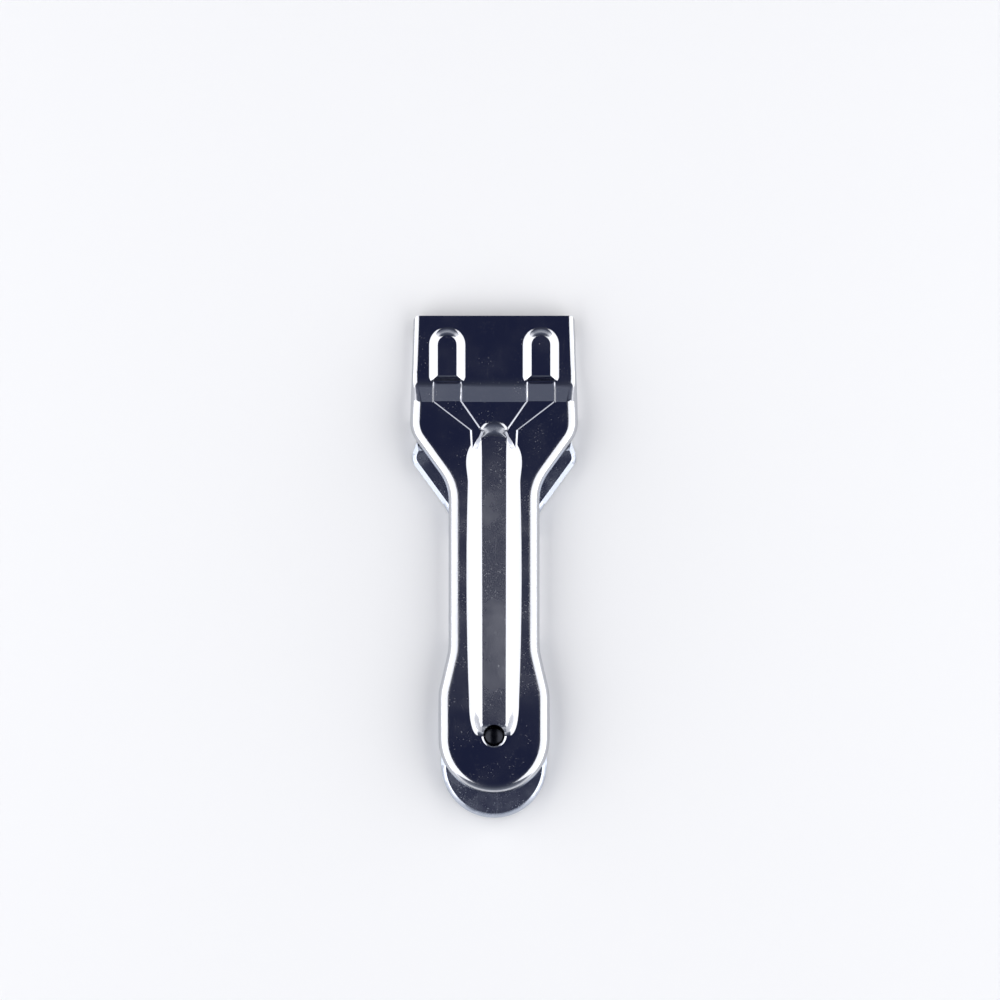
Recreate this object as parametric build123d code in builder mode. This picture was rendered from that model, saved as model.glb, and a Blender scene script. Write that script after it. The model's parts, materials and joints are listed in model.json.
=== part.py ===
from build123d import *
import os
from math import atan2, cos, degrees, hypot, sin, sqrt, tan

os.makedirs("parts", exist_ok=True)

# A sliding-blade scraper of pressed steel lies on its open back, face up.
# X runs across the tool, Y from the tail to the blade, Z up from the surface it lies on.
# The blade is drawn in: the inner tray stands back from the outer shell by the travel.

# Common sizes
sheet = 0.8
travel = 6.9
overrun = 1.0

# Outer shell, plan: the head's width follows from the blade further down
front_y = 71.8
head_flare_out = 1.1
head_corner = 1.6
shoulder_y = 38.6
waist_half = 13.0
waist_front_y = 23.3
waist_rear_y = -23.7
tail_flare_y = -36.0
tail_half = 15.9
tail_end_y = -64.9
shoulder_radius = 9.0
waist_radius = 13.0
flare_radius = 15.0

# Outer shell, heights and bends
body_top = 10.5
head_top = 6.2
head_length = 19.1
step_run = 5.6
step_foot_bend = 5.0
body_bend = 3.2
head_bend = 1.8
rim_land = 0.2

# Hollow ridge along the middle
ridge_height = 2.8
ridge_half = 7.1
ridge_rear_half = 6.8
ridge_swell = 1.0
strip_half = 3.65
strip_rear_half = 3.5
nose_half = 4.4
strip_nose_half = 3.7
nose_front_y = 41.4
strip_front_y = 37.5
nose_bulge = 4.1
strip_front_bulge = 0.6
cheek_half = 9.2
cheek_y = 32.5
cheek_rear_y = 28.0
flank_front_y = 24.0
ridge_rear_y = -48.0
strip_rear_y = -45.1
ridge_rear_ease = 10.0
strip_rear_ease = 1.0
ridge_rear_corner = 2.9
strip_rear_corner = 0.6

# Profile of every pressed flank, as shares of its run and rise: foot bend, flank, top bend
bend_shares = [(-0.1, 0.0), (0.08, 0.06), (0.3, 0.27), (0.85, 0.9), (1.05, 1.0)]
# The same on the back of the sheet, where the bends are plainer
back_shares = [(-0.1, 0.0), (0.3, 0.27), (1.05, 1.0)]
# Turns of the bend at the step's foot, as shares of the step's whole angle
turn_shares = [1.0, 0.75, 0.5, 0.25, 0.0]

# Two ribs on the head and the arms that carry them on to the ridge
rib_offset = 13.4
rib_half = 4.95
rib_top_half = 2.8
rib_height = 1.7
rib_setback = 3.4
rib_length = 15.4
rib_rear_run = 1.6
arm_height = 0.6
arm_side_run = 0.5
arm_wide_half = 4.0
arm_narrow_inner = 3.6
arm_narrow_outer = 6.6
arm_narrow_y = 38.8
arm_tail_outer = 6.3
arm_tail_y = 33.2

# Catch hole, side walls and hems of the outer shell
hole_y = -48.0
hole_radius = 3.1
hole_rim_width = 0.5
hole_rim_depth = 0.3
head_wall_rear_y = 42.0
waist_wall_front_y = 9.0
waist_wall_rear_y = -21.0
wall_corner = 2.5
relief_y = 63.0
relief_z = 3.2
hem_reach = 2.2
waist_hem_length = 20.0
head_hem_length = 10.0
head_hem_front_y = 60.0

# Inner tray: running clearances inside the outer shell, then its own sizes
side_clearance = 0.1
rim_clearance = 0.2
head_clearance = 0.15
hem_clearance = 0.1
head_side_clearance = 0.2
shoulder_inset = 0.15
shoulder_lag = 0.8
tail_inset = 0.8
ear_length = 5.1
ear_outer_radius = 3.4
ear_inner_radius = 3.0
plate_setback = 3.1
nut_land = 3.6
tray_step_run = 3.2
tray_bend = 2.2
tray_head_bend = 1.4
tray_flare_lag = 0.8

# Blade and the plate that clamps it under the tray's front
blade_width = 40.0
blade_side_clearance = 1.2
blade_depth = 22.0
blade_sheet = 0.3
blade_setback = 0.9
bevel_length = 1.5
bevel_land = 0.06
blade_corner = 0.6
pin_offset = 11.0
pin_inset = 5.0
pin_radius = 1.4
pin_clearance = 0.1
slot_length = 12.0
slot_width = 3.0
clamp_sheet = 1.0
clamp_side_inset = 1.0
clamp_tail = 3.2
clamp_nose = 1.8
clamp_corner = 3.0
heel_length = 1.6
clamp_groove_length = 24.0
clamp_groove_width = 2.4
clamp_groove_depth = 0.35

# Clamp screw, spring washer and nut
screw_setback = 8.9
screw_radius = 1.5
screw_head_radius = 2.8
screw_head_height = 1.3
screw_tip = 0.2
driver_slot_width = 0.8
driver_slot_depth = 0.6
washer_radius = 2.7
washer_bore = 1.6
washer_sheet = 0.5
washer_gap = 0.6
nut_across_flats = 5.5
nut_height = 1.8
nut_bevel = 0.25

# Leaf spring and catch stud
leaf_sheet = 0.4
leaf_width = 8.0
leaf_front_y = -19.0
leaf_bend_y = -28.5
leaf_rise_y = -34.0
leaf_rear_y = -46.0
leaf_rise = 1.5
leaf_bend = 3.0
rivet_front_y = -21.5
rivet_pitch = 4.6
rivet_radius = 1.2
rivet_head_radius = 2.0
rivet_head_height = 0.6
stud_clearance = 0.3
stud_tip_depth = 0.2
stud_dome_height = 0.7
collar_radius = 3.9
collar_height = 0.6
stem_radius = 1.4
stem_clearance = 0.1
stem_foot_radius = 2.2
stem_foot_height = 0.4

# Places that follow from the sizes above
tray_head_half = blade_width / 2 + blade_side_clearance + sheet
head_front_half = tray_head_half + head_side_clearance + sheet
head_rear_half = head_front_half + head_flare_out
clamp_width = blade_width - 2 * clamp_side_inset
shoulder_run = (head_rear_half - waist_half) / (shoulder_y - waist_front_y)
flat_share = 2 - sqrt(2)
step_foot_y = front_y - head_length
step_top_y = step_foot_y - step_run
rib_front_y = front_y - rib_setback
rib_rear_y = rib_front_y - rib_length
step_angle = atan2(body_top - head_top, step_run)
head_flare = (head_rear_half - head_front_half) / (front_y - shoulder_y)
rim_z = body_top - body_bend - rim_land
tray_top = rim_z - rim_clearance
tray_head_top = head_top - sheet - head_clearance
tray_rim = sheet + hem_clearance
tray_waist_half = waist_half - sheet - side_clearance
tray_tail_half = tail_half - tail_inset
tray_front_y = front_y - plate_setback
tray_step_angle = degrees(atan2(tray_top - tray_head_top, tray_step_run))
blade_edge_y = front_y - blade_setback + travel
blade_rear_y = blade_edge_y - blade_depth
blade_top = tray_head_top - sheet
clamp_top = blade_top - blade_sheet
clamp_bottom = clamp_top - clamp_sheet
pin_y = blade_rear_y + pin_inset
screw_y = blade_rear_y - screw_setback
clamp_rear_y = screw_y - clamp_tail
tray_step_foot_y = screw_y - nut_land
leaf_top = tray_top + leaf_rise + leaf_sheet
stud_y = hole_y + travel


def lean_inset(depth, run, rise):
    # A leaning face offset by a sheet moves in by this much where its height drops by the same sheet.
    return depth * tan(atan2(rise, run) / 2)


def flat_rim(edges, bend):
    # One flat in the place of a bend: it touches the bend at mid turn.
    chamfer(edges, bend * flat_share)


def head_half(y):
    return head_front_half + (front_y - y) * head_flare


def shoulder_line_y(x):
    # The straight shoulder that joins head and waist.
    return waist_front_y + (x - waist_half) / shoulder_run


def step_plane(foot_y, foot_z, angle, depth):
    # The leaning face between the inner tray's low front and its high body.
    return Plane(Location((0, foot_y, foot_z), (-angle, 0, 0))).offset(-depth)


def step_points(depth):
    # Side view of the step, from the crease at its top down through the bend at its foot.
    half_turn = tan(step_angle / 2)
    bend = step_foot_bend + depth
    centre_y = step_foot_y + (bend - depth) * half_turn
    centre_z = head_top - depth + bend
    points = [(step_top_y - depth * half_turn, body_top - depth)]
    for turn_share in turn_shares:
        turn = step_angle * turn_share
        points.append((centre_y - bend * sin(turn), centre_z - bend * cos(turn)))
    return points


def head_section(y, top_z, depth):
    # Cut across the head: two side walls and a top, with bends that tighten as the head gets lower.
    # The walls flare, so the cut meets them aslant and widens everything across by the same bit.
    aslant = hypot(1, head_flare)
    rise_share = (top_z + depth - head_top) / (body_top - head_top)
    bend = between(head_bend, body_bend, rise_share) - depth
    half = head_half(y) - depth * aslant
    with BuildSketch() as section:
        with BuildLine():
            if depth:
                flat = bend * flat_share
                Polyline((0, 0), (half, 0), (half, top_z - flat), (half - flat * aslant, top_z), (0, top_z))
            else:
                Polyline((0, 0), (half, 0), (half, top_z - bend))
                EllipticalCenterArc((half - bend * aslant, top_z - bend), bend * aslant, bend, arc_size=90)
                Line((half - bend * aslant, top_z), (0, top_z))
            mirror(about=Plane.YZ)
        make_face()
    return section.sketch


def head_stretch(points, depth, ruled):
    with BuildPart() as length:
        for y, top_z in points:
            section = head_section(y, top_z, depth)
            with BuildSketch(Plane((0, y, 0), x_dir=(1, 0, 0), z_dir=(0, -1, 0))):
                add(section)
        loft(ruled=ruled)
    return length.part


def tray_plane(z):
    # The inner tray and what rides on it are drawn pushed out, and stand back by the travel.
    return Plane((0, -travel, z))


def outline(corners, radii, end_half, end_y):
    # Right half from the front centre round to the tail, then mirrored.
    centre_y = end_y + end_half
    with BuildSketch() as plan:
        with BuildLine():
            Line((0, corners[0][1]), corners[0])
            FilletPolyline(*corners, (end_half, centre_y), radius=radii)
            CenterArc((0, centre_y), end_half, 0, -90)
            mirror(about=Plane.YZ)
        make_face()
    return plan.sketch


def between(low, high, share):
    return low + (high - low) * share


def flank_shares(depth):
    return back_shares if depth else bend_shares


def ridge_outline(share, lean, rear_lean):
    # Round nose, cheeks that swell, long flanks and a rear end that draws in.
    # Share 0 is the foot of the flank, share 1 the edge of the strip on top.
    half = between(ridge_half, strip_half, share) - lean
    rear_half = between(ridge_rear_half, strip_rear_half, share) - lean
    middle = (half + rear_half) / 2 + between(ridge_swell, 0, share)
    cheek = between(cheek_half, strip_half, share) - lean
    nose = between(nose_half, strip_nose_half, share) - lean
    apex_y = between(nose_front_y, strip_front_y, share) - lean
    nose_y = apex_y - between(nose_bulge, strip_front_bulge, share)
    rear_y = between(ridge_rear_y, strip_rear_y, share) + rear_lean
    corner_x = rear_half - between(ridge_rear_corner, strip_rear_corner, share)
    ease_y = rear_y + between(ridge_rear_ease, strip_rear_ease, share)
    with BuildSketch() as plan:
        with BuildLine():
            Bezier((nose, nose_y), (cheek, cheek_y), (half, cheek_rear_y), (half, flank_front_y))
            Bezier((half, flank_front_y), (middle, (flank_front_y + ease_y) / 2), (rear_half, ease_y))
            Bezier((rear_half, ease_y), (rear_half, rear_y), (corner_x, rear_y))
            Line((corner_x, rear_y), (0, rear_y))
            mirror(about=Plane.YZ)
            ThreePointArc((nose, nose_y), (0, apex_y), (-nose, nose_y))
        make_face()
    return plan.sketch


def ridge_skin(depth):
    # Foot bend, leaning flank and top bend are outlines, one above the other.
    lean = lean_inset(depth, ridge_half - strip_half, ridge_height)
    rear_lean = lean_inset(depth, strip_rear_y - ridge_rear_y, ridge_height)
    with BuildPart() as skin:
        for run_share, rise_share in flank_shares(depth):
            section = ridge_outline(run_share, lean, rear_lean)
            with BuildSketch(Plane.XY.offset(body_top - depth + ridge_height * rise_share)):
                add(section)
        loft(ruled=True)
    return skin.part


def rib_skin(depth):
    lean = lean_inset(depth, rib_half - rib_top_half, rib_height)
    rear_lean = lean_inset(depth, rib_rear_run, rib_height)
    top_front_y = rib_front_y - (rib_half - rib_top_half)
    with BuildPart() as skin:
        for run_share, rise_share in flank_shares(depth):
            section = rib_plan(
                between(rib_half, rib_top_half, run_share) - lean,
                between(rib_front_y, top_front_y, run_share) - lean,
                rib_rear_y + rib_rear_run * run_share + rear_lean,
            )
            with BuildSketch(Plane.XY.offset(head_top - depth + rib_height * rise_share)):
                with Locations((rib_offset, 0)):
                    add(section)
        loft(ruled=True)
        mirror(about=Plane.YZ)
    return skin.part


def rib_plan(half, apex_y, rear_y):
    with BuildSketch() as plan:
        with BuildLine():
            Line((-half, rear_y), (half, rear_y))
            Line((half, rear_y), (half, apex_y - half))
            ThreePointArc((half, apex_y - half), (0, apex_y), (-half, apex_y - half))
            Line((-half, apex_y - half), (-half, rear_y))
        make_face()
    return plan.sketch


def arm_plan(grow):
    # From the full width at the step's crease to a narrow end beside the ridge.
    with BuildSketch() as plan:
        with BuildLine():
            Polyline(
                (rib_offset - arm_wide_half - grow, step_top_y),
                (rib_offset + arm_wide_half + grow, step_top_y),
                (arm_narrow_outer + grow, arm_narrow_y),
                (arm_tail_outer + grow, arm_tail_y),
                (arm_narrow_inner - grow, arm_tail_y),
                (arm_narrow_inner - grow, arm_narrow_y),
                close=True,
            )
        make_face()
    return plan.sketch


def arm_skin(depth):
    # A low raised band that climbs the step and runs on over the body to the ridge.
    half_turn = tan(step_angle / 2)
    lean = lean_inset(depth, arm_side_run, arm_height)
    slope_length = hypot(step_run, body_top - head_top)
    face = Plane(
        (rib_offset, step_top_y - depth * half_turn, body_top - depth),
        x_dir=(1, 0, 0),
        z_dir=(0, sin(step_angle), cos(step_angle)),
    )
    with BuildPart() as skin:
        for rise, side_grow in ((0, arm_side_run / 2), (arm_height, -arm_side_run / 2)):
            far = slope_length + side_grow
            near = -arm_height * half_turn
            half = arm_wide_half + side_grow - lean
            with BuildSketch(face.offset(rise)):
                with Locations((0, (near + far) / 2)):
                    Rectangle(2 * half, far - near)
        loft(ruled=True)
        for rise, side_grow in ((0, arm_side_run / 2), (arm_height, -arm_side_run / 2)):
            plan = arm_plan(side_grow - lean)
            shift = (arm_height - depth) * half_turn
            with BuildSketch(Plane((0, shift, body_top - depth + rise))):
                add(plan)
        loft(ruled=True)
        mirror(about=Plane.YZ)
    return skin.part


def shell_skin(depth):
    # The whole pressed form: depth 0 is the face of the sheet, one sheet deeper is its back.
    points = step_points(depth)
    crease_y = points[0][0]
    open_front_y = front_y + (overrun if depth else 0)
    corners = [
        (head_half(open_front_y), open_front_y),
        (head_rear_half, shoulder_y),
        (waist_half, waist_front_y),
        (waist_half, waist_rear_y),
        (tail_half, tail_flare_y),
    ]
    radii = [shoulder_radius, waist_radius, flare_radius, flare_radius]
    with BuildPart() as body:
        with BuildSketch():
            add(outline(corners, radii, tail_half, tail_end_y))
            if depth:
                offset(amount=-depth)
        extrude(amount=body_top - depth)
        rim_edges = body.edges().group_by(Axis.Z)[-1]
        if depth:
            flat_rim(rim_edges, body_bend - depth)
        else:
            fillet(rim_edges, body_bend)
        split(bisect_by=Plane((0, crease_y, 0), z_dir=(0, 1, 0)), keep=Keep.BOTTOM)
    with BuildPart() as whole:
        add(body.part)
        add(head_stretch(points[:2], depth, True))
        if depth:
            add(head_stretch(points[1::2], depth, True))
        else:
            add(head_stretch(points[1:], depth, False))
        add(head_stretch([points[-1], (open_front_y, head_top - depth)], depth, True))
        add(ridge_skin(depth))
        add(rib_skin(depth))
        add(arm_skin(depth))
    return whole.part


def build_outer_shell():
    face = shell_skin(0)
    back = shell_skin(sheet)
    reach = head_rear_half + overrun
    with BuildPart() as shell:
        add(face)
        add(back, mode=Mode.SUBTRACT)
        with BuildSketch(Plane.XY.offset(body_top - sheet)):
            with Locations((0, hole_y)):
                Circle(hole_radius)
        extrude(amount=sheet + ridge_height, mode=Mode.SUBTRACT)
        # The hole's rim is drawn down all round, so that it gleams round the dark stud.
        with BuildSketch(Plane.XY.offset(body_top - hole_rim_depth)):
            with Locations((0, hole_y)):
                Circle(hole_radius)
        with BuildSketch(Plane.XY.offset(body_top)):
            with Locations((0, hole_y)):
                Circle(hole_radius + hole_rim_width)
        loft(mode=Mode.SUBTRACT)
        with BuildSketch(Plane.YZ):
            with BuildLine():
                FilletPolyline(
                    (waist_wall_front_y, -overrun),
                    (waist_wall_front_y, rim_z),
                    (head_wall_rear_y, rim_z),
                    (head_wall_rear_y, -overrun),
                    radius=wall_corner,
                    close=False,
                )
                Line((head_wall_rear_y, -overrun), (waist_wall_front_y, -overrun))
            make_face()
            with BuildLine():
                FilletPolyline(
                    (waist_wall_rear_y, -overrun),
                    (waist_wall_rear_y, rim_z),
                    (tail_end_y - overrun, rim_z),
                    radius=wall_corner,
                )
                Polyline(
                    (tail_end_y - overrun, rim_z),
                    (tail_end_y - overrun, -overrun),
                    (waist_wall_rear_y, -overrun),
                )
            make_face()
            with BuildLine():
                Polyline(
                    (relief_y, 0),
                    (front_y, relief_z),
                    (front_y + overrun, relief_z),
                    (front_y + overrun, -overrun),
                    (relief_y, -overrun),
                    close=True,
                )
            make_face()
        extrude(amount=reach, both=True, mode=Mode.SUBTRACT)
        # The head's two front corners are rounded off.
        corner_x = head_half(front_y - head_corner) - head_corner
        with BuildSketch():
            with Locations((corner_x + head_corner, front_y)):
                Rectangle(2 * head_corner, 2 * head_corner)
            with Locations((corner_x, front_y - head_corner)):
                Circle(head_corner, mode=Mode.SUBTRACT)
            mirror(about=Plane.YZ)
        extrude(amount=body_top, mode=Mode.SUBTRACT)
        # Hems folded in under the tray keep the two trays together.
        hem_inner = waist_half - sheet - hem_reach
        head_hem_inner = head_half(head_hem_front_y) - sheet - hem_reach
        head_hem_outer = head_half(head_hem_front_y) - sheet / 2
        with BuildSketch():
            with Locations(((hem_inner + waist_half) / 2, (waist_wall_front_y + waist_wall_rear_y) / 2)):
                Rectangle(waist_half - hem_inner, waist_hem_length)
            with Locations(((head_hem_inner + head_hem_outer) / 2, head_hem_front_y - head_hem_length / 2)):
                Rectangle(head_hem_outer - head_hem_inner, head_hem_length)
            mirror(about=Plane.YZ)
        extrude(amount=sheet)
    return shell


def tray_skin(depth):
    front = tray_front_y + (overrun if depth else 0)
    lap_y = tray_step_foot_y - tray_step_run - tray_bend
    ear_y = shoulder_line_y(head_rear_half) - shoulder_inset / shoulder_run - shoulder_lag
    waist_y = shoulder_line_y(tray_waist_half + shoulder_inset) - shoulder_lag
    drop = overrun if depth else 0
    plane = tray_plane(tray_rim - drop)
    corners = [
        (tray_head_half, front_y),
        (tray_head_half, ear_y + ear_length),
        (head_rear_half - shoulder_inset, ear_y),
        (tray_waist_half, waist_y),
        (tray_waist_half, waist_rear_y - tray_flare_lag),
        (tray_tail_half, tail_flare_y - tray_flare_lag),
    ]
    radii = [ear_inner_radius, ear_outer_radius, waist_radius, flare_radius, flare_radius]
    with BuildPart() as skin:
        with BuildSketch(plane):
            add(outline(corners, radii, tray_tail_half, tail_end_y))
            if depth:
                offset(amount=-depth)
        extrude(amount=tray_top - tray_rim - depth + drop)
        flat_rim(skin.edges().group_by(Axis.Z)[-1], tray_bend - depth)
        split(
            bisect_by=step_plane(tray_step_foot_y - travel, tray_head_top, tray_step_angle, depth),
            keep=Keep.BOTTOM,
        )
    with BuildPart() as head:
        with BuildSketch(plane):
            with Locations((0, (front + lap_y) / 2)):
                Rectangle(2 * (tray_head_half - depth), front - lap_y)
        extrude(amount=tray_head_top - tray_rim - depth + drop)
        side_edges = head.edges().group_by(Axis.Z)[-1].sort_by(Axis.X)
        flat_rim([side_edges[0], side_edges[-1]], tray_head_bend - depth)
    with BuildPart() as whole:
        add(skin.part)
        add(head.part)
    return whole.part


def build_inner_tray():
    face = tray_skin(0)
    back = tray_skin(sheet)
    with BuildPart() as tray:
        add(face)
        add(back, mode=Mode.SUBTRACT)
        with BuildSketch(tray_plane(tray_rim)):
            with Locations((0, rivet_front_y), (0, rivet_front_y - rivet_pitch)):
                Circle(rivet_radius)
            with Locations((0, screw_y)):
                Circle(screw_radius + pin_clearance)
            with Locations((pin_offset, pin_y), (-pin_offset, pin_y)):
                Circle(pin_radius)
        extrude(amount=tray_top, mode=Mode.SUBTRACT)
    return tray


outer_shell = build_outer_shell()
outer_shell.part.label = "outer_shell"
export_step(outer_shell.part, "parts/outer_shell.step")

inner_tray = build_inner_tray()
inner_tray.part.label = "inner_tray"
export_step(inner_tray.part, "parts/inner_tray.step")

# Blade: ground to an edge at the front, two holes for the pins and a slot between them
with BuildPart() as blade:
    with BuildSketch(tray_plane(blade_top - blade_sheet)):
        with Locations((0, (blade_edge_y + blade_rear_y) / 2)):
            Rectangle(blade_width, blade_depth)
        with Locations((pin_offset, pin_y), (-pin_offset, pin_y)):
            Circle(pin_radius + pin_clearance, mode=Mode.SUBTRACT)
        with Locations((0, pin_y)):
            SlotOverall(slot_length, slot_width, mode=Mode.SUBTRACT)
    extrude(amount=blade_sheet)
    front_edges = blade.edges().filter_by(Axis.X).group_by(Axis.Y)[-1]
    front_face = blade.faces().sort_by(Axis.Y)[-1]
    chamfer(front_edges, length=(blade_sheet - bevel_land) / 2, length2=bevel_length, reference=front_face)
    fillet(blade.edges().filter_by(Axis.Z).group_by(Axis.Y)[0], blade_corner)
blade.part.label = "blade"
export_step(blade.part, "parts/blade.step")

# Two pins riveted flush in the tray's front locate the blade
with BuildPart() as blade_pins:
    with BuildSketch(tray_plane(clamp_bottom + clamp_groove_depth)):
        with Locations((pin_offset, pin_y), (-pin_offset, pin_y)):
            Circle(pin_radius)
    extrude(amount=tray_head_top - clamp_bottom - clamp_groove_depth)
blade_pins.part.label = "blade_pins"
export_step(blade_pins.part, "parts/blade_pins.step")

# Clamp plate with a heel as thick as the blade, grooved across to stay flat
clamp_front_y = tray_front_y - clamp_nose
with BuildPart() as clamp_plate:
    with BuildSketch(tray_plane(clamp_bottom)):
        with Locations((0, (clamp_front_y + clamp_rear_y) / 2)):
            RectangleRounded(clamp_width, clamp_front_y - clamp_rear_y, clamp_corner)
        with Locations((0, screw_y)):
            Circle(screw_radius + pin_clearance, mode=Mode.SUBTRACT)
        with Locations((pin_offset, pin_y), (-pin_offset, pin_y)):
            Circle(pin_radius + pin_clearance, mode=Mode.SUBTRACT)
    extrude(amount=clamp_sheet)
    with BuildSketch(tray_plane(clamp_top)):
        with Locations((0, clamp_rear_y + heel_length / 2)):
            Rectangle(clamp_width - 2 * clamp_corner, heel_length)
    extrude(amount=blade_sheet)
    groove_y = (blade_rear_y + screw_y) / 2
    with BuildSketch(tray_plane(clamp_bottom)):
        with Locations((0, groove_y), (0, (clamp_front_y + pin_y) / 2)):
            Rectangle(clamp_groove_length, clamp_groove_width)
    extrude(amount=clamp_groove_depth, mode=Mode.SUBTRACT)
clamp_plate.part.label = "clamp_plate"
export_step(clamp_plate.part, "parts/clamp_plate.step")

# Screw from below, head down, with a driver slot
screw_head_z = clamp_bottom - washer_sheet - screw_head_height
with BuildPart() as clamp_screw:
    with BuildSketch(tray_plane(screw_head_z)):
        with Locations((0, screw_y)):
            Circle(screw_head_radius)
    extrude(amount=screw_head_height)
    chamfer(clamp_screw.edges().group_by(Axis.Z)[0], screw_head_height / 3)
    with BuildSketch(tray_plane(screw_head_z + screw_head_height)):
        with Locations((0, screw_y)):
            Circle(screw_radius)
    extrude(amount=tray_head_top + nut_height + screw_tip - screw_head_z - screw_head_height)
    chamfer(clamp_screw.edges().group_by(Axis.Z)[-1], screw_tip)
    with BuildSketch(tray_plane(screw_head_z)):
        with Locations((0, screw_y)):
            Rectangle(2 * screw_head_radius + overrun, driver_slot_width)
    extrude(amount=driver_slot_depth, mode=Mode.SUBTRACT)
clamp_screw.part.label = "clamp_screw"
export_step(clamp_screw.part, "parts/clamp_screw.step")

# Split spring washer under the screw head
with BuildPart() as spring_washer:
    with BuildSketch(tray_plane(clamp_bottom - washer_sheet)):
        with Locations((0, screw_y)):
            Circle(washer_radius)
            Circle(washer_bore, mode=Mode.SUBTRACT)
        with Locations((0, screw_y - washer_radius)):
            Rectangle(washer_gap, washer_radius, mode=Mode.SUBTRACT)
    extrude(amount=washer_sheet)
spring_washer.part.label = "spring_washer"
export_step(spring_washer.part, "parts/spring_washer.step")

# Thin nut on top of the tray's front
with BuildPart() as clamp_nut:
    with BuildSketch(tray_plane(tray_head_top)):
        with Locations((0, screw_y)):
            RegularPolygon(nut_across_flats / 2, 6, major_radius=False)
            Circle(screw_radius, mode=Mode.SUBTRACT)
    extrude(amount=nut_height)
    top_corners = clamp_nut.edges().group_by(Axis.Z)[-1].filter_by(GeomType.LINE)
    chamfer(top_corners, nut_bevel)
clamp_nut.part.label = "clamp_nut"
export_step(clamp_nut.part, "parts/clamp_nut.step")

# Leaf spring: riveted flat on the tray, raised under the stud
with BuildPart() as catch_spring:
    with BuildSketch(Plane((0, -travel, tray_top + leaf_sheet / 2), x_dir=(0, 1, 0), z_dir=(1, 0, 0))):
        with BuildLine():
            FilletPolyline(
                (leaf_front_y, 0),
                (leaf_bend_y, 0),
                (leaf_rise_y, leaf_rise),
                (leaf_rear_y, leaf_rise),
                radius=leaf_bend,
            )
        trace(line_width=leaf_sheet)
    extrude(amount=leaf_width / 2, both=True)
    with BuildSketch(tray_plane(tray_top)):
        with Locations((0, rivet_front_y), (0, rivet_front_y - rivet_pitch)):
            Circle(rivet_radius)
        with Locations((0, stud_y)):
            Circle(stem_radius + stem_clearance)
    extrude(amount=leaf_rise + 2 * leaf_sheet, mode=Mode.SUBTRACT)
    corners = catch_spring.edges().filter_by(Axis.Z)
    fillet(corners, leaf_width / 4)
catch_spring.part.label = "catch_spring"
export_step(catch_spring.part, "parts/catch_spring.step")

# Two rivets hold the leaf on the tray
with BuildPart() as spring_rivets:
    with BuildSketch(tray_plane(tray_top - sheet)):
        with Locations((0, rivet_front_y), (0, rivet_front_y - rivet_pitch)):
            Circle(rivet_radius)
    extrude(amount=sheet + leaf_sheet)
    with BuildSketch(tray_plane(tray_top + leaf_sheet), tray_plane(tray_top - sheet - rivet_head_height)):
        with Locations((0, rivet_front_y), (0, rivet_front_y - rivet_pitch)):
            Circle(rivet_head_radius)
    extrude(amount=rivet_head_height)
    chamfer(spring_rivets.edges().group_by(Axis.Z)[0], rivet_head_height / 2)
spring_rivets.part.label = "spring_rivets"
export_step(spring_rivets.part, "parts/spring_rivets.step")

# Catch stud: domed tip in the hole, collar below the sheet, stem through the leaf
neck_radius = hole_radius - stud_clearance
tip_z = body_top - stud_tip_depth
dome_foot_z = tip_z - stud_dome_height
with BuildPart() as catch_stud:
    with BuildSketch(Plane((0, stud_y - travel, 0), x_dir=(1, 0, 0), z_dir=(0, -1, 0))):
        with BuildLine():
            ThreePointArc((-neck_radius, dome_foot_z), (0, tip_z), (neck_radius, dome_foot_z))
            Polyline(
                (neck_radius, dome_foot_z),
                (neck_radius, leaf_top + collar_height),
                (collar_radius, leaf_top + collar_height),
                (collar_radius, leaf_top),
                (stem_radius, leaf_top),
                (stem_radius, leaf_top - leaf_sheet),
                (stem_foot_radius, leaf_top - leaf_sheet),
                (stem_foot_radius, leaf_top - leaf_sheet - stem_foot_height),
                (0, leaf_top - leaf_sheet - stem_foot_height),
                (-neck_radius, leaf_top - leaf_sheet - stem_foot_height),
                (-neck_radius, dome_foot_z),
            )
        make_face()
        with Locations((-collar_radius, tip_z / 2)):
            Rectangle(2 * collar_radius, tip_z + overrun, mode=Mode.SUBTRACT)
    revolve(axis=Axis((0, stud_y - travel, 0), (0, 0, 1)))
catch_stud.part.label = "catch_stud"
export_step(catch_stud.part, "parts/catch_stud.step")
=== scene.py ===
import json
from math import cos, pi, radians, sin, tan

import bpy
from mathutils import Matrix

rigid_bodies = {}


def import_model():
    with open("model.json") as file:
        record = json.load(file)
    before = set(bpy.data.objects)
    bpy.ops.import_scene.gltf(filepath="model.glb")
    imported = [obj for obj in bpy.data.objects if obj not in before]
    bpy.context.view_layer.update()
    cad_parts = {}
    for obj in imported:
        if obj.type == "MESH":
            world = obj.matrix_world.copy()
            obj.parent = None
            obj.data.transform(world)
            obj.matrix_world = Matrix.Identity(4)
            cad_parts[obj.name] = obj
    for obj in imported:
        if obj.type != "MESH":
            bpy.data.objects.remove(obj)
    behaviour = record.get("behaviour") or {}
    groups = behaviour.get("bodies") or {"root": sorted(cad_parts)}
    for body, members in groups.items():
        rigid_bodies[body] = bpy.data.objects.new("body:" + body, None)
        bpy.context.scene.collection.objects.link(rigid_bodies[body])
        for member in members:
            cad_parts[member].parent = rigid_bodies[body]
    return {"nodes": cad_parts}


for leftOver in list(bpy.data.objects):
    bpy.data.objects.remove(leftOver)  # start from an empty scene

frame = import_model()
bpy.context.view_layer.update()  # so that every piece is in place before it is measured
metalPieces = frame["nodes"]
print("Frame loaded:", len(metalPieces), "pieces of pressed and turned metal")

mm = 0.001
micron = 0.000001

# The photograph looks straight down on the face, blade end up
view = {
    "centre": (1.7 * mm, 19.1 * mm),
    "width": 285.7 * mm,
    "sharpAt": 8 * mm,
    "distance": 2000 * mm,
    "nearest": 1 * mm,
    "sensor": 36.0,  # in the camera's own unit
}


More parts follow.
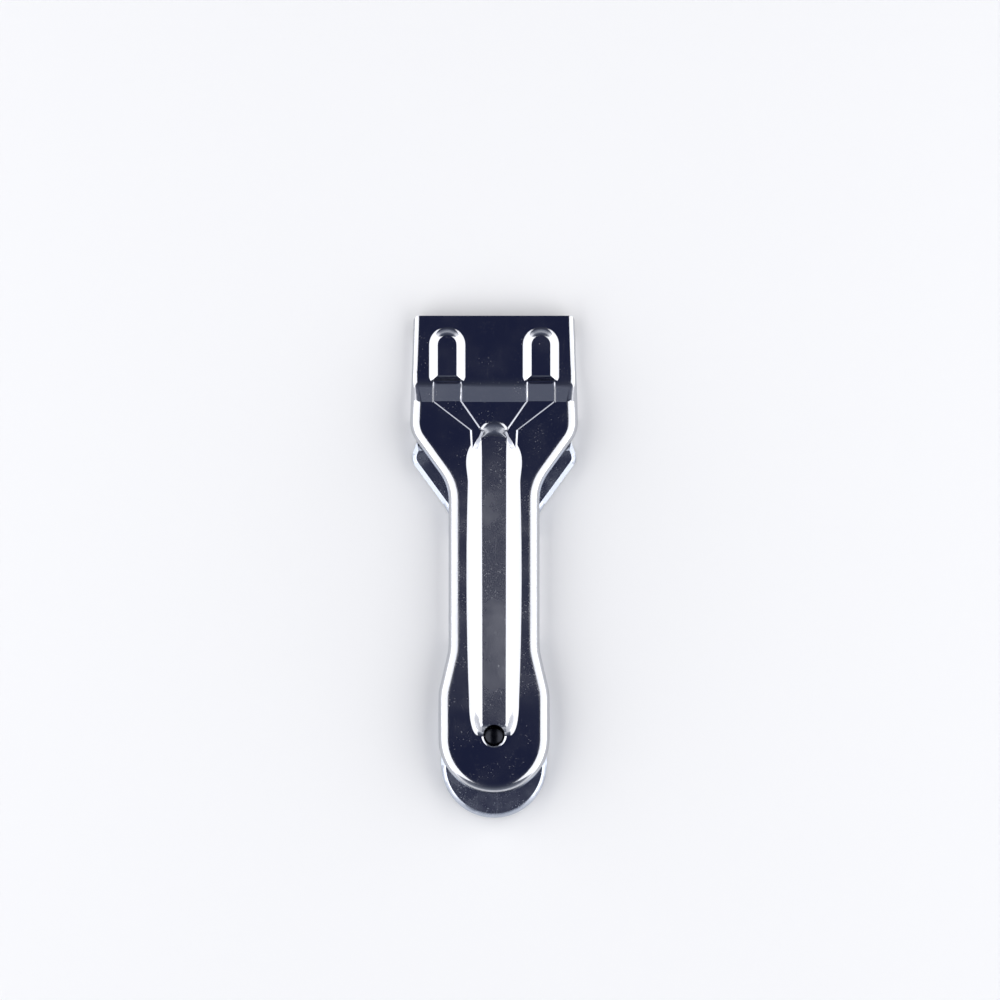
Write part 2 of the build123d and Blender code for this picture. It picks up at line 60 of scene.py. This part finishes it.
def setCamera():
    lensData = bpy.data.cameras.new("overheadCamera")
    lensData.sensor_width = view["sensor"]
    lensData.lens = view["sensor"] * view["distance"] / view["width"]
    lensData.clip_start = view["nearest"]
    camera = bpy.data.objects.new("overheadCamera", lensData)
    bpy.context.scene.collection.objects.link(camera)
    camera.location = (*view["centre"], view["sharpAt"] + view["distance"])
    bpy.context.scene.camera = camera


setCamera()
bpy.context.scene.view_settings.view_transform = "Standard"
print("Camera set", view["distance"], "m above the tool")


# Node helpers, shared by the metals and the room
def linkOrSet(tree, value, socket):
    if isinstance(value, (int, float)):
        socket.default_value = value
    elif isinstance(value, tuple):
        socket.default_value = (*value, 1)
    else:
        tree.links.new(value, socket)


def mathStep(tree, operation, first, second=0.0):
    step = tree.nodes.new("ShaderNodeMath")
    step.operation = operation
    linkOrSet(tree, first, step.inputs[0])
    linkOrSet(tree, second, step.inputs[1])
    return step.outputs[0]


def softStep(tree, value, limits, low=0.0, high=1.0):
    step = tree.nodes.new("ShaderNodeMapRange")
    step.interpolation_type = "SMOOTHSTEP"
    tree.links.new(value, step.inputs["Value"])
    step.inputs["From Min"].default_value = limits[0]
    step.inputs["From Max"].default_value = limits[1]
    step.inputs["To Min"].default_value = low
    step.inputs["To Max"].default_value = high
    return step.outputs[0]


def blend(tree, share, first, second):
    mix = tree.nodes.new("ShaderNodeMix")
    mix.data_type = "RGBA"
    tree.links.new(share, mix.inputs["Factor"])
    linkOrSet(tree, first, mix.inputs["A"])
    linkOrSet(tree, second, mix.inputs["B"])
    return mix.outputs["Result"]


def grain(tree, place, size, detail, turn=0.0):
    # size is one grain's length along X, Y and Z in metres, turned about Z
    spin = tree.nodes.new("ShaderNodeVectorRotate")
    spin.rotation_type = "Z_AXIS"
    spin.inputs["Angle"].default_value = radians(turn)
    mapping = tree.nodes.new("ShaderNodeMapping")
    mapping.inputs["Scale"].default_value = [1 / length for length in size]
    tree.links.new(place, spin.inputs["Vector"])
    tree.links.new(spin.outputs[0], mapping.inputs["Vector"])
    noise = tree.nodes.new("ShaderNodeTexNoise")
    noise.inputs["Scale"].default_value = 1.0
    noise.inputs["Detail"].default_value = detail
    tree.links.new(mapping.outputs[0], noise.inputs["Vector"])
    return noise.outputs["Fac"]


# How each noise pattern is read: its detail, and where it starts to show and shows in full
pattern = {
    "cloudDetail": 4.0,
    "cloudShows": (0.35, 0.75),
    "grainDetail": 2.0,
    "lineRise": 0.08,
    "speckDetail": 0.0,
    "speckShows": (0.70, 0.78),
    "patchDetail": 3.0,
    "patchShows": (0.40, 0.65),
    "rippleDetail": 0.0,
}


def fineLines(tree, place, look):
    # Long thin grains in a few directions, left by handling and by the polishing wheel
    size = (look["lineWidth"], look["lineLength"], look["lineWidth"])
    shows = (look["lineStart"], look["lineStart"] + pattern["lineRise"])
    lines = None
    for turn in look["lineTurns"]:
        layer = softStep(tree, grain(tree, place, size, pattern["grainDetail"], turn), shows)
        lines = layer if lines is None else mathStep(tree, "MAXIMUM", lines, layer)
    return lines


def specks(tree, place, look):
    # Tiny pits and dust, thicker in some places than in others
    speck = grain(tree, place, [look["speckSize"]] * 3, pattern["speckDetail"])
    patch = grain(tree, place, [look["patchSize"]] * 3, pattern["patchDetail"])
    speck = softStep(tree, speck, pattern["speckShows"])
    patch = softStep(tree, patch, pattern["patchShows"])
    return mathStep(tree, "MULTIPLY", mathStep(tree, "MULTIPLY", speck, patch), look["speckRoughness"])


def gripWear(tree, place, look):
    # The waist is dulled where it is held
    along = tree.nodes.new("ShaderNodeSeparateXYZ")
    tree.links.new(place, along.inputs[0])
    rear = softStep(tree, along.outputs["Y"], (look["gripRear"] - look["gripFade"], look["gripRear"]))
    frontEdge = (look["gripFront"], look["gripFront"] + look["gripFade"])
    front = softStep(tree, along.outputs["Y"], frontEdge, 1.0, 0.0)
    held = mathStep(tree, "MULTIPLY", mathStep(tree, "MULTIPLY", rear, front), look["gripHaze"])
    # The strip on top of the ridge is rubbed matt, most of all towards the tail
    top = softStep(tree, along.outputs["Z"], (look["stripHeight"], look["stripHeight"] + look["stripRise"]))
    reach = (look["stripRear"], look["stripFront"])
    rub = softStep(tree, along.outputs["Y"], reach, 1.0, look["stripFrontShare"])
    rubbed = mathStep(tree, "MULTIPLY", mathStep(tree, "MULTIPLY", top, rub), look["stripHaze"])
    return held, rubbed


def relief(tree, place, look, lines):
    # Heights in microns: slow ripple of the pressing, orange peel of the plating, lines cut in
    ripple = grain(tree, place, [look["rippleSize"]] * 3, pattern["rippleDetail"])
    peel = grain(tree, place, [look["grainSize"]] * 3, pattern["grainDetail"])
    height = mathStep(tree, "MULTIPLY", ripple, look["rippleHeight"])
    height = mathStep(tree, "ADD", height, mathStep(tree, "MULTIPLY", peel, look["grainHeight"]))
    height = mathStep(tree, "SUBTRACT", height, mathStep(tree, "MULTIPLY", lines, look["lineDepth"]))
    bump = tree.nodes.new("ShaderNodeBump")
    bump.inputs["Strength"].default_value = 1.0
    bump.inputs["Distance"].default_value = micron
    tree.links.new(height, bump.inputs["Height"])
    return bump.outputs["Normal"]


def metalFinish(name, look):
    finish = bpy.data.materials.new(name)
    finish.use_nodes = True
    tree = finish.node_tree
    tree.nodes.clear()
    output = tree.nodes.new("ShaderNodeOutputMaterial")
    metal = tree.nodes.new("ShaderNodeBsdfPrincipled")
    metal.inputs["Metallic"].default_value = 1.0
    tree.links.new(metal.outputs["BSDF"], output.inputs["Surface"])
    place = tree.nodes.new("ShaderNodeTexCoord").outputs["Object"]

    # Clouding of the polish sets the colour and, with the lines and wear, the roughness
    cloud = grain(tree, place, [look["cloudSize"]] * 3, pattern["cloudDetail"])
    lines = fineLines(tree, place, look)
    clouding = softStep(tree, cloud, pattern["cloudShows"])
    clouding = mathStep(tree, "MULTIPLY", clouding, look["cloudRoughness"])
    roughness = mathStep(tree, "ADD", clouding, look["roughness"])
    wear = [mathStep(tree, "MULTIPLY", lines, look["lineRoughness"])]
    if "speckRoughness" in look:
        wear.append(specks(tree, place, look))
    if "gripHaze" in look:
        wear.extend(gripWear(tree, place, look))
    for layer in wear:
        roughness = mathStep(tree, "ADD", roughness, layer)
    tree.links.new(roughness, metal.inputs["Roughness"])
    tree.links.new(blend(tree, cloud, look["colour"], look["cloudColour"]), metal.inputs["Base Color"])
    tree.links.new(relief(tree, place, look, lines), metal.inputs["Normal"])
    return finish


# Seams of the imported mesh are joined, and edges sharper than this many degrees are rounded
edges = {
    "joinWithin": micron,
    "sharperThan": 40,
    "steps": 2,
}


def dress(name, finish, edge=None):
    piece = metalPieces[name]
    for slot in piece.material_slots:
        slot.material = finish
    weld = piece.modifiers.new("joinSeams", "WELD")
    weld.merge_threshold = edges["joinWithin"]
    if edge:
        soften = piece.modifiers.new("softEdge", "BEVEL")
        soften.width = edge
        soften.segments = edges["steps"]
        soften.limit_method = "ANGLE"
        soften.angle_limit = radians(edges["sharperThan"])
        soften.harden_normals = True


# Outer shell: bright plated, clouded and specked, dulled at the waist and on the ridge's strip
shell = {
    "colour": (0.56, 0.57, 0.60),
    "cloudColour": (0.50, 0.51, 0.55),
    "roughness": 0.11,
    "cloudSize": 9 * mm,
    "cloudRoughness": 0.06,
    "speckSize": 0.45 * mm,
    "speckRoughness": 0.16,
    "patchSize": 6 * mm,
    "grainSize": 0.35 * mm,
    "grainHeight": 0.6,
    "lineTurns": (4, -28, 63),
    "lineWidth": 0.12 * mm,
    "lineLength": 14 * mm,
    "lineStart": 0.70,
    "lineRoughness": 0.10,
    "lineDepth": 0.5,
    "rippleSize": 24 * mm,
    "rippleHeight": 60.0,
    "gripHaze": 0.09,
    "gripRear": -30 * mm,
    "gripFront": 15 * mm,
    "gripFade": 22 * mm,
    "stripHaze": 0.07,
    "stripHeight": 12.9 * mm,
    "stripRise": 0.2 * mm,
    "stripRear": -45 * mm,
    "stripFront": 38 * mm,
    "stripFrontShare": 0.55,
}
dress("outer_shell", metalFinish("shellPlate", shell), edge=0.12 * mm)
print("Outer shell dressed")

# Inner tray: the same plate, duller, with long rolling lines
tray = {
    "colour": (0.50, 0.53, 0.60),
    "cloudColour": (0.44, 0.48, 0.56),
    "roughness": 0.2,
    "cloudSize": 7 * mm,
    "cloudRoughness": 0.1,
    "speckSize": 0.45 * mm,
    "speckRoughness": 0.16,
    "patchSize": 5 * mm,
    "grainSize": 0.4 * mm,
    "grainHeight": 0.8,
    "lineTurns": (0, 5),
    "lineWidth": 0.15 * mm,
    "lineLength": 30 * mm,
    "lineStart": 0.66,
    "lineRoughness": 0.12,
    "lineDepth": 0.7,
    "rippleSize": 28 * mm,
    "rippleHeight": 50.0,
}
dress("inner_tray", metalFinish("trayPlate", tray), edge=0.5 * mm)
print("Inner tray dressed")

# Blade: bare strip steel, ground across its width
bladeStrip = {
    "colour": (0.53, 0.535, 0.55),
    "cloudColour": (0.45, 0.45, 0.47),
    "roughness": 0.24,
    "cloudSize": 5 * mm,
    "cloudRoughness": 0.08,
    "grainSize": 0.2 * mm,
    "grainHeight": 0.5,
    "lineTurns": (90, 86),
    "lineWidth": 0.08 * mm,
    "lineLength": 20 * mm,
    "lineStart": 0.6,
    "lineRoughness": 0.18,
    "lineDepth": 1.0,
    "rippleSize": 20 * mm,
    "rippleHeight": 5.0,
}
dress("blade", metalFinish("groundSteel", bladeStrip))

# Clamp plate: zinc plated, with a coarser spangle
clamp = {
    "colour": (0.52, 0.53, 0.55),
    "cloudColour": (0.43, 0.45, 0.49),
    "roughness": 0.3,
    "cloudSize": 4 * mm,
    "cloudRoughness": 0.12,
    "grainSize": 0.3 * mm,
    "grainHeight": 2.0,
    "lineTurns": (12, 70),
    "lineWidth": 0.15 * mm,
    "lineLength": 8 * mm,
    "lineStart": 0.68,
    "lineRoughness": 0.12,
    "lineDepth": 1.0,
    "rippleSize": 16 * mm,
    "rippleHeight": 12.0,
}
dress("clamp_plate", metalFinish("zincPlate", clamp), edge=0.1 * mm)
print("Blade and clamp dressed")

# Screw, washer and nut: turned and tumbled
turned = {
    "colour": (0.5, 0.5, 0.51),
    "cloudColour": (0.4, 0.4, 0.42),
    "roughness": 0.28,
    "cloudSize": 2 * mm,
    "cloudRoughness": 0.14,
    "grainSize": 0.15 * mm,
    "grainHeight": 2.5,
    "lineTurns": (33, -40),
    "lineWidth": 0.1 * mm,
    "lineLength": 2 * mm,
    "lineStart": 0.64,
    "lineRoughness": 0.15,
    "lineDepth": 1.2,
    "rippleSize": 6 * mm,
    "rippleHeight": 4.0,
}
turnedSteel = metalFinish("turnedSteel", turned)
dress("clamp_screw", turnedSteel, edge=0.06 * mm)
dress("spring_washer", turnedSteel, edge=0.05 * mm)
dress("clamp_nut", turnedSteel, edge=0.06 * mm)

# Leaf spring: tempered strip, straw coloured in places
leaf = {
    "colour": (0.46, 0.46, 0.47),
    "cloudColour": (0.42, 0.37, 0.31),
    "roughness": 0.26,
    "cloudSize": 7 * mm,
    "cloudRoughness": 0.1,
    "grainSize": 0.2 * mm,
    "grainHeight": 0.6,
    "lineTurns": (0, 3),
    "lineWidth": 0.1 * mm,
    "lineLength": 18 * mm,
    "lineStart": 0.62,
    "lineRoughness": 0.14,
    "lineDepth": 0.8,
    "rippleSize": 14 * mm,
    "rippleHeight": 6.0,
}
dress("catch_spring", metalFinish("temperedStrip", leaf), edge=0.06 * mm)

# Rivets and pins: cold headed, a little duller than the turned pieces
headed = dict(turned, roughness=0.34, cloudRoughness=0.16, grainSize=0.25 * mm, grainHeight=4.0)
headedSteel = metalFinish("headedSteel", headed)
dress("spring_rivets", headedSteel)
dress("blade_pins", headedSteel)

# Catch stud: turned steel painted near-black, a dark finish that also stands in as painted shade for the
# inside of the catch hole; its dome rubbed smooth by the thumb
darkStudWithPaintedShade = dict(
    turned,
    # near-black colour: partly the stud's dark finish, partly painted shade for the deep catch hole
    colour=(0.035, 0.037, 0.045),
    cloudColour=(0.02, 0.021, 0.026),
    roughness=0.2,
    cloudRoughness=0.08,
    grainHeight=1.0,
)
dress("catch_stud", metalFinish("darkStudPaintedShade", darkStudWithPaintedShade))
print("Fasteners, spring and stud dressed")

# Floor and studio light
studio = {
    "floorSize": 9.0,
    "floorColour": (0.85, 0.85, 0.85),
    "floorRoughness": 0.9,
    "boxDistance": 800 * mm,
    "boxLength": 1600 * mm,
    "boxBrightness": 1.8,
    "boxReach": (20.0, 88.0),  # where a softbox starts and ends, in degrees from straight overhead
    "ceiling": (0.016, 0.021, 0.061),
    # Each wall: height above the horizon as a share of straight up, and the colour there
    "headWall": [
        (0.0, (1.3, 1.32, 1.4)),
        (0.03, (1.3, 1.32, 1.4)),
        (0.09, (0.42, 0.44, 0.50)),
        (0.22, (0.15, 0.165, 0.225)),
        (0.6, (0.05, 0.057, 0.09)),
    ],
    "tailWall": [
        (0.0, (1.3, 1.32, 1.4)),
        (0.03, (1.3, 1.32, 1.4)),
        (0.09, (0.40, 0.42, 0.48)),
        (0.3, (0.24, 0.26, 0.31)),
        (0.7, (0.06, 0.07, 0.11)),
    ],
    "sideWall": [
        (0.0, (1.75, 1.75, 1.78)),
        (0.1, (1.75, 1.75, 1.78)),
        (0.3, (0.5, 0.5, 0.54)),
        (0.7, (0.05, 0.057, 0.09)),
    ],
    # Where one wall turns into the next, by how far a direction points to the head or to a side
    "tailToHead": (-0.3, 0.1),
    "endToSide": (0.45, 0.75),
}


def layFloor():
    bpy.ops.mesh.primitive_plane_add(size=studio["floorSize"])
    floor = bpy.context.active_object
    floor.name = "paleFloor"
    paper = bpy.data.materials.new("paleFloor")
    paper.use_nodes = True
    board = paper.node_tree.nodes["Principled BSDF"]
    board.inputs["Base Color"].default_value = (*studio["floorColour"], 1)
    board.inputs["Roughness"].default_value = studio["floorRoughness"]
    floor.data.materials.append(paper)


def hangSoftbox(name, side):
    start, end = studio["boxReach"]
    lean = radians((start + end) / 2)
    lamp = bpy.data.lights.new(name, "AREA")
    lamp.shape = "RECTANGLE"
    lamp.size = 2 * studio["boxDistance"] * tan(radians(end - start) / 2)
    lamp.size_y = studio["boxLength"]
    lamp.energy = studio["boxBrightness"] * pi * lamp.size * lamp.size_y
    box = bpy.data.objects.new(name, lamp)
    bpy.context.scene.collection.objects.link(box)
    box.location = (side * studio["boxDistance"] * sin(lean), 0, studio["boxDistance"] * cos(lean))
    box.rotation_euler = (0, side * lean, 0)
    box.visible_camera = False


def wallShade(tree, height, stops):
    # The wall's colour by height above the horizon, up to the ceiling straight overhead
    shade = tree.nodes.new("ShaderNodeValToRGB")
    lowest, overhead = shade.color_ramp.elements
    lowest.position, lowest.color = stops[0][0], (*stops[0][1], 1)
    overhead.color = (*studio["ceiling"], 1)
    for level, colour in stops[1:]:
        stop = shade.color_ramp.elements.new(level)
        stop.color = (*colour, 1)
    tree.links.new(height, shade.inputs["Fac"])
    return shade.outputs["Color"]


def paintRoom():
    room = bpy.data.worlds.new("room")
    bpy.context.scene.world = room
    room.use_nodes = True
    tree = room.node_tree
    tree.nodes.clear()
    output = tree.nodes.new("ShaderNodeOutputWorld")
    walls = tree.nodes.new("ShaderNodeBackground")
    heading = tree.nodes.new("ShaderNodeSeparateXYZ")
    tree.links.new(tree.nodes.new("ShaderNodeTexCoord").outputs["Generated"], heading.inputs[0])
    height = heading.outputs["Z"]
    headEnd = wallShade(tree, height, studio["headWall"])
    tailEnd = wallShade(tree, height, studio["tailWall"])
    sides = wallShade(tree, height, studio["sideWall"])
    ends = blend(tree, softStep(tree, heading.outputs["Y"], studio["tailToHead"]), tailEnd, headEnd)
    sideways = mathStep(tree, "ABSOLUTE", heading.outputs["X"])
    colour = blend(tree, softStep(tree, sideways, studio["endToSide"]), ends, sides)
    tree.links.new(colour, walls.inputs["Color"])
    tree.links.new(walls.outputs[0], output.inputs["Surface"])


layFloor()
hangSoftbox("softboxRight", 1)
hangSoftbox("softboxLeft", -1)
paintRoom()
print("Floor, softboxes and room ready")
